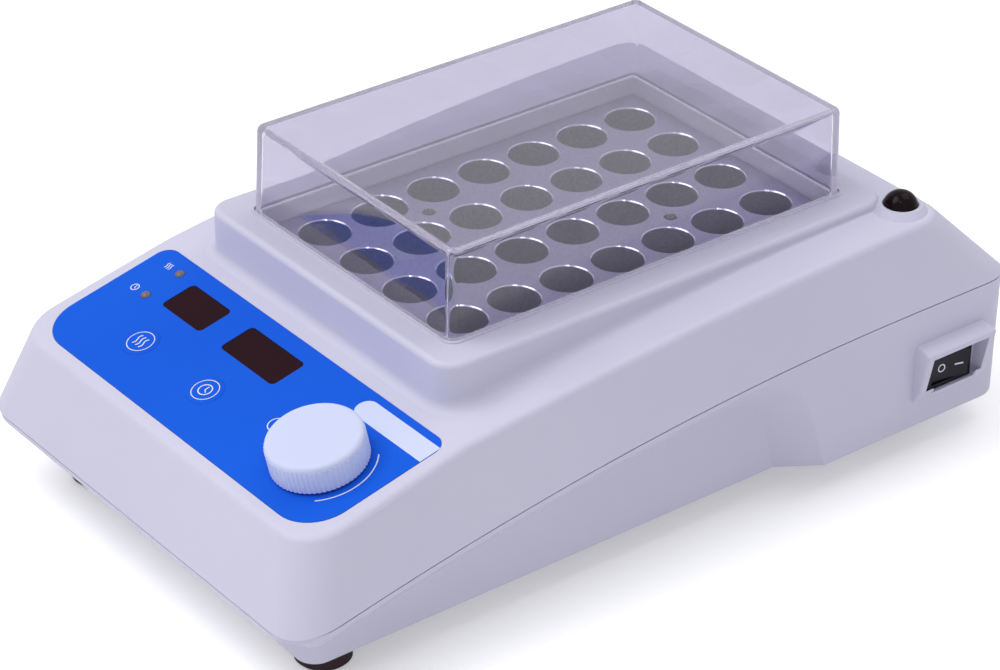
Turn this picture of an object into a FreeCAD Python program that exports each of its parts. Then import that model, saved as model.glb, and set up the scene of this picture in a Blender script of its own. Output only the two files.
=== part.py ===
import FreeCAD
import Part
import math
import os

V = FreeCAD.Vector

# Sizes in millimetres. X runs to the switch side, Y to the rear, Z up from the foot bottoms.
# Across the bench all follows from the tube wells; along it, all follows from the front edge.

# Fits and clearances
layer_gap = 0.05
seat_gap = 0.3
trim_gap = 0.15
past = 1.0
far = 40.0
touch = 0.01
upward = 0.95
lean_reach = 3.0

# Tube block
well_cols = 4
well_rows = 7
well_pitch_x = 22.5
well_pitch_y = 20.8
well_r = 8.4
well_depth = 45.0
well_chamfer = 0.35
block_side_wall = 4.85
block_end_wall = 4.4
block_h = 50.0
block_sink = 5.5
block_corner_r = 1.0
lift_hole_r = 2.5
lift_hole_depth = 12.0
block_half_w = (well_cols - 1) * well_pitch_x / 2.0 + well_r + block_side_wall
block_half_l = (well_rows - 1) * well_pitch_y / 2.0 + well_r + block_end_wall

# Clear lid and the opening that it stands in
lid_side_margin = 5.1
lid_end_margin = 4.3
lid_wall = 2.7
lid_h = 30.7
lid_edge_r = 2.2
lid_corner_r = 3.0
lid_inner_r = 1.2
lid_draft = 0.75
lid_clear = 0.6
lid_half_w = block_half_w + lid_side_margin
lid_half_l = block_half_l + lid_end_margin
opening_half_w = lid_half_w + lid_clear
opening_half_l = lid_half_l + lid_clear
opening_r = lid_corner_r + lid_clear
rim_w = 1.0
rim_h = 0.5

# Riser round the opening
shelf_side = 10.9
shelf_front = 10.0
shelf_rear = 10.2
riser_rise = 2.8
riser_corner_r = 8.0
riser_edge_r = 2.0
riser_blend_front_r = 3.6
riser_blend_rear_r = 0.6
riser_half_w = opening_half_w + shelf_side

# Cover along the bench: front face, panel, bend, riser, deck and rear slope
front_y = -142.6
front_lean = 9.3
panel_run = 53.8
bend_run = 9.5
bend_lift = 0.15
bend_overlap = 1.0
rear_deck = 10.6
rear_slope = 26.0
side_deck = 23.9
side_lean = 8.5
side_rise = 26.4
wall = 2.8
front_corner_r = 15.5
rear_corner_r = 11.0
top_edge_r = 2.8
half_w = riser_half_w + side_deck
front_top_y = front_y + front_lean
bend_start_y = front_top_y + panel_run
bend_end_y = bend_start_y + bend_run
riser_front_y = bend_end_y - bend_overlap
well_mid_y = riser_front_y + shelf_front + opening_half_l
riser_rear_y = well_mid_y + opening_half_l + shelf_rear
shoulder_y = riser_rear_y + rear_deck
rear_y = shoulder_y + rear_slope

# Heights from the base's floor up: cut-out, heater, pan, block, riser and lid
base_low_z = 11.3
cutout_floor_gap = 1.4
cutout_tab_h = 2.2
cutout_body_t = 4.4
cutout_cap_t = 3.0
heater_t = 0.8
clamp_t = 2.5
pan_floor = 3.0
base_floor_z = base_low_z + wall
cutout_top_z = base_floor_z + cutout_floor_gap + cutout_tab_h + cutout_body_t + cutout_cap_t
heater_z = cutout_top_z + layer_gap
clamp_z = heater_z - layer_gap - clamp_t
pan_low_z = heater_z + heater_t + layer_gap
block_low_z = pan_low_z + pan_floor + seat_gap
block_top_z = block_low_z + block_h
riser_top_z = block_top_z + block_sink
lid_top_z = riser_top_z + lid_h

# Arcs of the cover's back and of the parting line
front_drop = 28.0
panel_slope = math.radians(13.34)
back_apex_run = 6.0
back_arc_r = 1425.0
part_apex_run = 47.1
part_arc_r = 1015.0
part_gap = 0.45
riser_root = 22.0
back_apex_y = shoulder_y + back_apex_run
back_apex_z = riser_top_z - riser_rise
part_apex_y = rear_y - part_apex_run
part_apex_z = back_apex_z - side_rise
front_top_z = back_apex_z - front_drop
riser_root_z = back_apex_z - riser_root

# Collar between riser and block
flange_t = 2.25
ledge_t = 1.8
ledge_w = 1.5
block_gap = 1.0
collar_side_flare = 1.2
collar_end_flare = 0.4
collar_drop = 9.3
collar_wall = 1.6
collar_in_r = 1.4
collar_lip_r = 1.8
collar_foot_r = 2.4
collar_top_r = 2.6
ledge_top = riser_top_z - seat_gap - flange_t - layer_gap
collar_low_z = block_top_z - collar_drop

# Heating pan and its layers
pan_wall = 2.5
pan_clear = 0.4
pan_corner_r = 3.0
pan_inner_r = 1.2
pan_rim_drop = 13.3
heater_inset = 4.0
heater_tail_w = 24.0
heater_tail_l = 6.0
clamp_window_half_w = 14.0
clamp_window_half_l = 40.0
clamp_window_r = 4.0
jacket_t = 8.0
jacket_corner_r = 6.0
leg_r = 4.0
leg_inset_x = 7.0
leg_inset_y = 13.2
pan_out_w = block_half_w + pan_clear + pan_wall
pan_out_l = block_half_l + pan_clear + pan_wall

# Probe and thermal cut-out in the clamp plate's window
probe_w = 6.0
probe_l = 16.0
probe_t = 3.2
probe_y = 8.0
probe_lead_r = 1.1
probe_neck_w = 1.6
probe_neck_l = 5.0
cutout_y = -16.0
cutout_cap_r = 7.2
cutout_body_r = 5.6
cutout_tab_x = 3.2
cutout_tab_l = 6.0
tab_t = 0.8

# Base
lip_h = 1.8
recess_in = 9.0
recess_reach = 1.5
recess_grow = 0.4
inset_grow = 0.6
recess_drop = 10.3
recess_run = 27.6
front_inset = 10.7
front_inset_corner_r = 6.5
arch_run = 174.6
arch_shift = 2.2
arch_out_z = 24.0
arch_out_r = 27.5
arch_in_z = 24.6
arch_in_r = 16.4
arch_lean = math.radians(17.0)
arch_tilt = math.radians(3.5)
arch_mid = math.radians(52.0)
tongue_h = 2.2
tongue_t = 1.2
tongue_gap = 1.2
tongue_front_gap = 1.4
tongue_rear_gap = 3.8
step_in = 1.0
step_h = 3.2
boss_wall = 1.6
recess_half_w = half_w - recess_in
recess_start_y = front_y + recess_run
front_inset_y = front_y + front_inset
arch_out_y = front_y + arch_run
arch_in_y = arch_out_y - arch_shift

# Screws
screw_shank_r = 1.6
screw_head_r = 3.2
screw_head_h = 2.2
screw_edge = 0.6
slot_w = 0.8
slot_l = 4.0
slot_h = 1.0
small_head_r = 2.6
small_head_h = 1.8
pilot_r = 1.25
post_r = 3.2

# Feet
foot_r = 9.0
foot_top_r = 8.6
foot_edge = 0.8
foot_inset_x = 25.3
foot_inset_front = 27.0
foot_inset_rear = 30.4
foot_spigot_r = 4.0
foot_spigot_h = 2.0
spigot_gap = 0.1
foot_mouth_r = 5.4
foot_mouth_h = 2.5
foot_sink_r = 4.4
foot_sink_h = 7.5
foot_boss_h = 7.7
foot_spots = [
    (side * (half_w - foot_inset_x), y)
    for side in (-1.0, 1.0)
    for y in (front_y + foot_inset_front, rear_y - foot_inset_rear)
]
foot_boss_z = base_low_z + foot_boss_h

# Screw posts that join the cover to the base
cover_post_r = 3.4
cover_post_split_z = 40.0
cover_post_front_x = 16.5
cover_post_front_y = 45.6
cover_post_rear_x = 29.5
cover_post_rear_y = 12.0
cover_screw_hole = 9.0
cover_sink_h = 12.7
cover_sink_gap = 0.4
post_bite = 1.2
cover_posts = [
    (side * (half_w - inset), y)
    for inset, y in (
        (cover_post_front_x, front_y + cover_post_front_y),
        (cover_post_rear_x, rear_y - cover_post_rear_y))
    for side in (-1.0, 1.0)
]
cover_sink_z = base_low_z + cover_sink_h

# Vents under the pan and in the rear wall
vent_count = 9
vent_pitch = 9.0
vent_half_w = 1.6
vent_l = 40.0
vent_run = 80.6
rear_vent_count = 8
rear_vent_x = 8.0
rear_vent_pitch = 6.0
rear_vent_w = 2.6
rear_vent_low_z = 24.0
rear_vent_h = 20.0

# Switch hood and switch
hood_rear_gap = 13.0
hood_l = 30.4
hood_reach = 6.7
hood_low_reach = 3.5
hood_top_z = 41.2
hood_top_fall = 1.4
hood_face_h = 16.2
hood_h = 21.2
hood_front_wall = 2.4
hood_rear_wall = 3.0
hood_top_wall = 2.0
hood_lip_h = 1.0
hood_edge_r = 0.9
hood_root = 3.0
hood_pad = 2.2
hood_pad_over = 2.0
hood_pad_under = 4.0
switch_y = 15.6
switch_drop = 11.0
switch_sink = 0.5
switch_half_y = 9.8
switch_half_z = 6.9
switch_bezel_t = 1.4
switch_bezel_w = 1.6
switch_bezel_r = 0.5
switch_body_in = 0.4
switch_depth = 17.0
switch_blade_pitch = 6.6
switch_blade_w = 4.8
switch_blade_l = 8.0
rocker_gap = 0.35
rocker_tilt = 9.0
rocker_sink = 1.2
rocker_crown = 2.3
rocker_high = math.radians(22.0)
rocker_low = math.radians(10.0)
rocker_room = 4.4
hood_rear_y = rear_y - hood_rear_gap
hood_front_y = hood_rear_y - hood_l
hood_low_z = hood_top_z - hood_h
hood_lip_z = hood_top_z - hood_face_h
switch_mid_y = hood_front_y + switch_y
switch_mid_z = hood_top_z - switch_drop
switch_face_x = half_w - switch_sink + layer_gap
switch_front_x = switch_face_x + switch_bezel_t
rocker_x = switch_face_x - rocker_sink
rocker_end_r = switch_half_y - switch_bezel_w - rocker_gap
rocker_half_z = switch_half_z - switch_bezel_w - rocker_gap

# Control panel: X across, S up the slope from the front top edge, H out of the slope
overlay_inset = 13.4
overlay_low_s = 4.4
overlay_l = 52.5
overlay_t = 0.5
overlay_sink = 0.4
overlay_front_r = 14.0
overlay_back_r = 5.0
overlay_half_w = half_w - overlay_inset
overlay_high_s = overlay_low_s + overlay_l
window_r = 1.8
window_sink = 0.15
display_low_s = 37.6
display_l = 13.0
small_run = 23.1
small_w = 21.6
display_spacing = 11.2
large_w = 28.5
module_margin = 1.2
module_hole_h = 8.0
display_high_s = display_low_s + display_l
small_x0 = small_run - overlay_half_w
small_x1 = small_x0 + small_w
large_x0 = small_x1 + display_spacing
large_x1 = large_x0 + large_w
display_spans = [(small_x0, small_x1), (large_x0, large_x1)]
led_r = 1.7
led_dome_r = 2.1
led_run = 15.1
led_hole_gap = 0.1
heat_led_s = 50.6
timer_led_s = 37.1
led_x = led_run - overlay_half_w
led_spots = [(led_x, heat_led_s), (led_x, timer_led_s)]
key_run = 34.0
key_spacing = 36.0
key_s = 22.4
key_r = 4.5
key_gap = 0.3
key_rise = 0.35
key_edge = 0.25
key_cap_t = 1.3
key_stem_r = 1.9
key_travel = 0.4
key_switch_half = 3.0
key_switch_h = 3.0
key_switch_stem_r = 1.7
key_switch_top = -6.6
heat_key_x = key_run - overlay_half_w
timer_key_x = heat_key_x + key_spacing
key_spots = [(heat_key_x, key_s), (timer_key_x, key_s)]

# Control board behind the panel
board_h = -12.0
board_t = 1.6
board_side = 8.1
board_low_s = 9.0
board_l = 46.0
post_side = 12.1
post_low_s = 13.0
post_spacing = 38.0
pilot_top_h = -3.4
board_top_h = board_h + board_t
board_half_w = overlay_half_w - board_side
post_spots = [
    (side * (overlay_half_w - post_side), s)
    for side in (-1.0, 1.0)
    for s in (post_low_s, post_low_s + post_spacing)
]

# Control knob and its encoder
knob_side = 23.7
knob_s = 26.7
knob_r = 15.45
knob_h = 10.4
knob_gap = 1.0
knob_flutes = 64
flute_depth = 0.3
ridge_share = 0.22
knob_cap_h = 1.7
knob_cap_in = 0.2
knob_edge_r = 1.5
knob_wall = 2.0
knob_push = 0.5
hub_r = 5.4
shaft_r = 3.0
shaft_run = 0.06
shaft_low = -8.6
bushing_r = 3.9
bushing_rise = 0.6
encoder_half = 6.2
encoder_top_gap = 0.5
plunger_r = 2.2
plunger_t = 0.9
knob_x = overlay_half_w - knob_side

# Indicator lamp at the rear right of the cover
lamp_side = 19.7
lamp_run = 0.8
lamp_r = 5.8
lamp_dome_h = 4.6
lamp_seat = 2.0
lamp_root = 1.2
lamp_ring_r = 7.2
lamp_flare_r = 10.1
lamp_foot_t = 0.9
lamp_stem_l = 8.0
lamp_stem_in = 1.2
lamp_lens_wall = 1.2
lamp_led_r = 2.5
lamp_led_l = 6.0
lamp_led_sink = 9.6
lamp_lead = 0.6
lamp_lead_x = 1.2
lamp_lead_l = 5.0
lamp_x = half_w - lamp_side
lamp_y = riser_rear_y + lamp_run
lamp_base_z = back_apex_z + lamp_seat

# Rear inlet with its fuse drawer
inlet_x = -34.0
inlet_mid_z = 33.0
inlet_half_w = 14.2
inlet_half_h = 16.5
inlet_depth = 20.0
inlet_flange = 2.4
inlet_flange_t = 2.0
inlet_edge_r = 1.0
socket_half_w = 11.8
socket_half_h = 8.0
socket_drop = 6.0
socket_depth = 16.0
pin_half = 1.0
pin_half_h = 2.0
pin_spacing = 6.5
pin_low = 1.6
pin_high = 2.2
pin_sink = 4.0
drawer_half_w = 8.0
drawer_half_h = 3.4
drawer_rise = 10.6
drawer_depth = 15.0
drawer_stand = 0.4
drawer_wall = 1.4
drawer_face_t = 2.0
drawer_pull_half_w = 3.0
drawer_pull_half_h = 1.2
drawer_pull_h = 0.9

# Power board in the front of the base, with what stands on it
power_run = 20.6
power_side = 31.5
power_w = 108.0
power_l = 44.0
power_t = 1.6
power_post_inset = 5.0
power_post_h = 8.7
power_pilot_h = 5.0
power_z = base_low_z + power_post_h
power_x0 = power_side - half_w
power_y0 = front_y + power_run
power_top_z = power_z + power_t + layer_gap
power_posts = [
    (x, y)
    for x in (power_x0 + power_post_inset, power_x0 + power_w - power_post_inset)
    for y in (power_y0 + power_post_inset, power_y0 + power_l - power_post_inset)
]
core_x = 14.0
core_y = 6.0
core_w = 34.0
core_l = 28.0
core_h = 16.0
coil_in = 6.0
coil_out = 2.0
coil_low = 3.0
coil_h = 10.5
relay_x = 70.0
relay_y = 8.0
relay_w = 15.0
relay_l = 20.0
relay_h = 15.0
relay_edge_r = 0.6
can_x = 55.5
can_y = 36.0
can_spacing = 11.0
can_r = 5.0
can_h = 16.0


def box(x0, x1, y0, y1, z0, z1):
    return Part.makeBox(x1 - x0, y1 - y0, z1 - z0, V(x0, y0, z0))


def block_at(x, y, z, half_x, half_y, half_z):
    return box(x - half_x, x + half_x, y - half_y, y + half_y, z - half_z, z + half_z)


def tube(x, y, z0, z1, r0, r1=None):
    if r1 is None:
        return Part.makeCylinder(r0, z1 - z0, V(x, y, z0))
    return Part.makeCone(r0, r1, z1 - z0, V(x, y, z0))


def line(a, b):
    return Part.makeLine(a, b)


def face_of(edges):
    return Part.Face(Part.Wire(Part.__sortEdges__(edges)))


def rounded_outline(half_x, y0, y1, z, r_front, r_rear, mid_x=0.0):
    x0 = mid_x - half_x
    x1 = mid_x + half_x
    k = 1.0 - math.sqrt(0.5)
    p = [
        V(x0 + r_front, y0, z), V(x1 - r_front, y0, z),
        V(x1, y0 + r_front, z), V(x1, y1 - r_rear, z),
        V(x1 - r_rear, y1, z), V(x0 + r_rear, y1, z),
        V(x0, y1 - r_rear, z), V(x0, y0 + r_front, z),
    ]
    c = [
        V(x1 - k * r_front, y0 + k * r_front, z),
        V(x1 - k * r_rear, y1 - k * r_rear, z),
        V(x0 + k * r_rear, y1 - k * r_rear, z),
        V(x0 + k * r_front, y0 + k * r_front, z),
    ]
    edges = []
    for i in range(4):
        edges.append(line(p[2 * i], p[2 * i + 1]))
        edges.append(Part.Arc(p[2 * i + 1], c[i], p[(2 * i + 2) % 8]).toShape())
    return Part.Wire(edges)


def rounded_block(half_x, y0, y1, z0, z1, r_front, r_rear=None, mid_x=0.0):
    if r_rear is None:
        r_rear = r_front
    outline = rounded_outline(half_x, y0, y1, z0, r_front, r_rear, mid_x)
    return Part.Face(outline).extrude(V(0, 0, z1 - z0))


def well_outline(half_x, half_y, z, r):
    return rounded_outline(half_x, well_mid_y - half_y, well_mid_y + half_y, z, r, r)


def well_block(half_x, half_y, z0, z1, r):
    return rounded_block(half_x, well_mid_y - half_y, well_mid_y + half_y, z0, z1, r)


def part_z(y):
    if y >= part_apex_y:
        return part_apex_z
    return part_apex_z - part_arc_r + math.sqrt(part_arc_r ** 2 - (y - part_apex_y) ** 2)


def back_z(y):
    return back_apex_z - back_arc_r + math.sqrt(back_arc_r ** 2 - (y - back_apex_y) ** 2)


def arc_yz(x, height, y0, y1, shift=0.0):
    ym = (y0 + y1) / 2.0
    return Part.Arc(
        V(x, y0, height(y0) + shift),
        V(x, ym, height(ym) + shift),
        V(x, y1, height(y1) + shift),
    ).toShape()


def beside_parting(x, y0, y1, z, shift):
    # Face between the level z and the parting line moved by shift, above or below it
    return face_of([
        arc_yz(x, part_z, y0, part_apex_y, shift),
        line(V(x, part_apex_y, part_z(part_apex_y) + shift), V(x, y1, part_apex_z + shift)),
        line(V(x, y1, part_apex_z + shift), V(x, y1, z)),
        line(V(x, y1, z), V(x, y0, z)),
        line(V(x, y0, z), V(x, y0, part_z(y0) + shift)),
    ])


def cover_section(x, inset, drop):
    # Section of the cover, moved inwards by inset and reaching below the parting line by drop
    lean = math.atan2(front_lean, front_top_z - part_z(front_y))
    back = math.atan2(rear_slope, back_z(shoulder_y) - part_apex_z)
    in_front = inset / math.cos(lean)
    in_rear = inset / math.cos(back)
    in_panel = inset / math.cos(panel_slope)
    rise = math.tan(panel_slope)
    y0 = front_y + in_front
    down = (in_panel - in_front * rise) / (1.0 - math.tan(lean) * rise)
    y1 = front_top_y + in_front - down * math.tan(lean)
    z1 = front_top_z - down
    y2 = bend_start_y
    z2 = front_top_z + (y2 - front_top_y) * rise - in_panel
    y3 = bend_end_y
    z3 = back_z(y3) - inset
    zm = (z2 + z3) / 2.0 + bend_lift
    y4 = shoulder_y - in_rear + inset * math.tan(back)
    z4 = back_z(y4) - inset
    y5 = rear_y - in_rear
    edges = [
        line(V(x, y0, part_z(y0)), V(x, y1, z1)),
        line(V(x, y1, z1), V(x, y2, z2)),
        Part.Arc(V(x, y2, z2), V(x, (y2 + y3) / 2.0, zm), V(x, y3, z3)).toShape(),
        arc_yz(x, back_z, y3, y4, -inset),
        line(V(x, y4, z4), V(x, y5, part_apex_z)),
        line(V(x, y5, part_apex_z - drop), V(x, part_apex_y, part_apex_z - drop)),
        arc_yz(x, part_z, y0, part_apex_y, -drop),
    ]
    if drop > 0.0:
        edges.append(line(V(x, y0, part_z(y0) - drop), V(x, y0, part_z(y0))))
        edges.append(line(V(x, y5, part_apex_z), V(x, y5, part_apex_z - drop)))
    return face_of(edges)


def steep_edges(shape, y_lo, y_hi):
    # Corner edges that climb from the parting line between two places along the bench
    found = []
    for e in shape.Edges:
        a = e.Vertexes[0].Point
        b = e.Vertexes[-1].Point
        if abs(a.z - b.z) > side_rise / 2.0 and min(a.y, b.y) > y_lo and max(a.y, b.y) < y_hi:
            found.append(e)
    return found


def cover_form(inset, drop):
    # Outside of the cover for inset 0, or its hollow for inset equal to the wall
    out = half_w + side_lean
    form = cover_section(-out, inset, drop).extrude(V(2.0 * out, 0, 0))
    in_side = inset / math.cos(math.atan2(side_lean, side_rise))
    for side in (-1.0, 1.0):
        region = beside_parting(
            side * (half_w - in_side), front_y - far, rear_y + far, riser_top_z + 4.0 * far, 0.0)
        lean_in = V(-side * side_lean, 0, side_rise) * lean_reach
        region.translate(-lean_in)
        form = form.cut(region.extrude(lean_in * 2.0))
    front = steep_edges(form, front_y - past, front_top_y + front_corner_r)
    form = form.makeFillet(front_corner_r - inset, front)
    rear = steep_edges(form, shoulder_y - rear_corner_r, rear_y + past)
    return form.makeFillet(rear_corner_r - inset, rear)


def rim_edges(shape, steep):
    # Edges between the faces that look up and their neighbours
    seen = {}
    for face in shape.Faces:
        u0, u1, v0, v1 = face.ParameterRange
        if face.normalAt((u0 + u1) / 2.0, (v0 + v1) / 2.0).z > steep:
            for e in face.Edges:
                seen.setdefault(e.hashCode(), []).append(e)
    return [pair[0] for pair in seen.values() if len(pair) == 1]


def top_edges(shape, z):
    return [e for e in shape.Edges if e.BoundBox.ZMin > z - touch]


def fillet_each(shape, chosen):
    # Rounds each edge by its own start and end radius
    doc = FreeCAD.newDocument("round")
    body = doc.addObject("Part::Feature", "body")
    body.Shape = shape
    rounded = doc.addObject("Part::Fillet", "rounded")
    rounded.Base = body
    hashes = [e.hashCode() for e in body.Shape.Edges]
    rounded.Edges = [(hashes.index(e.hashCode()) + 1, r0, r1) for e, r0, r1 in chosen]
    doc.recompute()
    result = rounded.Shape.copy()
    FreeCAD.closeDocument(doc.Name)
    return result


def low_riser_edges(shape):
    # Edges where the riser's upright sides meet the cover's top
    k = riser_corner_r * (1.0 - math.sqrt(0.5))
    near = 0.05
    near_corner = 1.5
    found = []
    for e in shape.Edges:
        m = e.valueAt((e.FirstParameter + e.LastParameter) / 2.0)
        b = e.BoundBox
        if b.ZMin > riser_top_z - riser_edge_r - 0.2 or b.ZMax - b.ZMin > riser_top_z / 6.0:
            continue
        on_side = abs(abs(m.x) - riser_half_w) < near
        on_end = min(abs(m.y - riser_front_y), abs(m.y - riser_rear_y)) < near
        near_x = abs(abs(m.x) - (riser_half_w - k)) < near_corner
        near_y = min(abs(m.y - riser_front_y - k), abs(m.y - riser_rear_y + k)) < near_corner
        if on_side or on_end or (near_x and near_y):
            found.append(e)
    return found


def blend_radius(p):
    # The blend at the riser's foot is widest in front and shrinks along its sides
    if p.y < riser_front_y + riser_corner_r + 0.5:
        return riser_blend_front_r
    u = min(1.0, (p.y - riser_front_y) / (riser_rear_y - riser_corner_r - riser_front_y))
    return riser_blend_front_r + (riser_blend_rear_r - riser_blend_front_r) * u


def on_panel(shape):
    # Moves a piece from the panel's own frame, X across, Y up the slope, Z out of it
    moved = shape.copy()
    moved.rotate(V(0, 0, 0), V(1, 0, 0), math.degrees(panel_slope))
    moved.translate(V(0, front_top_y, front_top_z))
    return moved


def panel_box(x0, x1, s0, s1, h0, h1):
    return on_panel(box(x0, x1, s0, s1, h0, h1))


def panel_tube(x, s, h0, h1, r):
    return on_panel(tube(x, s, h0, h1, r))


def panel_window(x0, x1, s0, s1, h0, h1, r):
    return on_panel(rounded_block((x1 - x0) / 2.0, s0, s1, h0, h1, r, r, (x0 + x1) / 2.0))


def overlay_plate(grow, h0, h1):
    return on_panel(rounded_block(
        overlay_half_w + grow, overlay_low_s - grow, overlay_high_s + grow, h0, h1,
        overlay_front_r + grow, overlay_back_r + grow,
    ))


def well_centres():
    places = []
    for i in range(well_cols):
        for j in range(well_rows):
            x = (i - (well_cols - 1) / 2.0) * well_pitch_x
            y = well_mid_y + (j - (well_rows - 1) / 2.0) * well_pitch_y
            places.append((x, y))
    return places


def make_cover():
    form = cover_form(0.0, 0.0)
    form = form.makeFillet(top_edge_r, rim_edges(form, upward))
    form = form.fuse(rounded_block(
        riser_half_w, riser_front_y, riser_rear_y, riser_root_z, riser_top_z, riser_corner_r))
    form = form.makeFillet(riser_edge_r, top_edges(form, riser_top_z))
    low = []
    for e in low_riser_edges(form):
        low.append((e, blend_radius(e.Vertexes[0].Point), blend_radius(e.Vertexes[-1].Point)))
    form = fillet_each(form, low)
    form = form.fuse(well_block(
        opening_half_w + rim_w, opening_half_l + rim_w, riser_top_z - past, riser_top_z + rim_h,
        opening_r + rim_w))
    form = form.fuse(tube(
        lamp_x, lamp_y, back_z(lamp_y) - lamp_root, lamp_base_z, lamp_flare_r, lamp_ring_r))
    hollow = cover_form(wall, past)
    hollow = hollow.fuse(rounded_block(
        riser_half_w - wall, riser_front_y + wall, riser_rear_y - wall,
        riser_root_z, ledge_top - ledge_t, riser_corner_r - wall))
    cover = form.cut(hollow)
    inside = cover_form(post_bite, far + far / 2.0)
    posts = []
    for x, y in cover_posts:
        posts.append(tube(x, y, cover_post_split_z, riser_top_z, cover_post_r))
    for x, s in post_spots:
        posts.append(panel_tube(x, s, board_top_h + layer_gap, -post_bite, post_r))
    for post in posts:
        cover = cover.fuse(post.common(inside))
    cuts = [
        well_block(opening_half_w, opening_half_l, ledge_top, riser_top_z + far, opening_r),
        well_block(
            opening_half_w - ledge_w, opening_half_l - ledge_w, riser_root_z, riser_top_z + far,
            opening_r - ledge_w),
        overlay_plate(trim_gap, -overlay_sink, past),
        tube(lamp_x, lamp_y, riser_root_z, lamp_base_z + past, lamp_r - lamp_stem_in + trim_gap),
        tube(lamp_x, lamp_y, lamp_base_z - lamp_foot_t - layer_gap, lamp_base_z + far, lamp_r + trim_gap),
        panel_tube(knob_x, knob_s, -far / 2.0, past, bushing_r + trim_gap),
    ]
    for x0, x1 in display_spans:
        cuts.append(panel_box(
            x0 + module_margin - seat_gap, x1 - module_margin + seat_gap,
            display_low_s + module_margin - seat_gap, display_high_s - module_margin + seat_gap,
            -module_hole_h, past))
    for x, s in led_spots:
        cuts.append(panel_tube(x, s, -far / 2.0, past, led_r + trim_gap))
    for x, s in key_spots:
        cuts.append(panel_tube(x, s, -far / 2.0, past, key_stem_r + key_gap))
        cuts.append(panel_tube(
            x, s, key_rise - key_cap_t - key_travel - trim_gap, past, key_r + key_gap))
    for x, s in post_spots:
        cuts.append(panel_tube(x, s, board_top_h - past, pilot_top_h, pilot_r))
    for x, y in cover_posts:
        cuts.append(tube(
            x, y, cover_post_split_z - past, cover_post_split_z + cover_screw_hole,
            screw_shank_r + layer_gap))
    return cover.cut(Part.makeCompound(cuts))


def recess_edges(x, f, grow):
    # Outline of the grip recess at one depth; f runs from 0 on its inner wall to 1 at the outer face
    cy = arch_in_y + (arch_out_y - arch_in_y) * f
    cz = arch_in_z + (arch_out_z - arch_in_z) * f
    r = arch_in_r + (arch_out_r - arch_in_r) * f + grow
    shift = -lip_h - recess_drop * (1.0 - f) + grow
    y0 = recess_start_y
    y_top = cy - r * math.sin(arch_tilt)
    ym = (y0 + y_top) / 2.0
    y_side = cy + r * math.cos(arch_lean)
    z_side = cz + r * math.sin(arch_lean)
    a = V(x, y0, part_z(y0) + shift)
    b = V(x, y_top, cz + r * math.cos(arch_tilt))
    c = V(x, y_side, z_side)
    d = V(x, y_side + z_side * math.tan(arch_lean), 0.0)
    e = V(x, y0, 0.0)
    return [
        Part.Arc(a, V(x, ym, part_z(ym) + shift), b).toShape(),
        Part.Arc(b, V(x, cy + r * math.cos(arch_mid), cz + r * math.sin(arch_mid)), c).toShape(),
        line(c, d),
        line(d, e),
        line(e, a),
    ]


def ruled_solid(first, second):
    # Solid between two outlines whose edges match one to one
    faces = [Part.Face(Part.Wire(first)), Part.Face(Part.Wire(second))]
    for e0, e1 in zip(first, second):
        faces.append(Part.makeRuledSurface(e0, e1))
    shell = Part.Shell(faces)
    shell.sewShape()
    solid = Part.Solid(shell)
    if solid.Volume < 0.0:
        solid.reverse()
    return solid


def recess_cutter(side, grow):
    deep = recess_half_w - grow
    out = deep + recess_in * recess_reach
    return ruled_solid(
        recess_edges(side * deep, 0.0, grow * recess_grow),
        recess_edges(side * out, recess_reach, grow * recess_grow))


def tilted(outline, rise, height):
    # Lifts a flat outline onto the sloping plane under the front lip
    m = FreeCAD.Matrix()
    m.A32 = rise
    m.A34 = height
    return outline.transformGeometry(m)


def front_cutter(grow):
    # What is cut away below the front lip, up to where the side recesses start
    z_front = part_z(front_y) - lip_h
    z_rear = part_z(recess_start_y) - lip_h
    rise = (z_rear - z_front) / (recess_start_y - front_y)
    height = z_front - rise * front_y
    end = recess_start_y + front_corner_r
    deep = recess_half_w - grow
    y_in = front_inset_y + grow
    r_in = front_inset_corner_r - grow * inset_grow
    low = rounded_outline(deep, y_in, end, 0.0, r_in, past)
    mid = tilted(rounded_outline(deep, y_in, end, 0.0, r_in, past), rise, height - recess_drop)
    high = tilted(
        rounded_outline(
            half_w - grow, front_y + grow, end, 0.0, front_corner_r - grow * inset_grow, past),
        rise, height)
    keep = Part.makeLoft([low, mid], True, True).fuse(Part.makeLoft([mid, high], True, True))
    x = -half_w - far
    y0 = front_y - far
    low_z = -past
    slab = Part.Face(Part.makePolygon([
        V(x, y0, low_z), V(x, recess_start_y, low_z),
        V(x, recess_start_y, height + rise * recess_start_y),
        V(x, y0, height + rise * y0), V(x, y0, low_z),
    ])).extrude(V(-2.0 * x, 0, 0))
    return slab.cut(keep)


def parting_band(half_x, y0, y1, r_front, r_rear, low, high):
    # Part of a rounded block that lies between two copies of the parting line
    block = rounded_block(half_x, y0, y1, 0.0, riser_top_z, r_front, r_rear)
    out = half_w + far
    across = V(2.0 * out, 0, 0)
    shape = block.common(beside_parting(-out, front_y - far, rear_y + far, -far, high).extrude(across))
    if low is None:
        return shape
    return shape.cut(beside_parting(-out, front_y - far, rear_y + far, -far, low).extrude(across))


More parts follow.
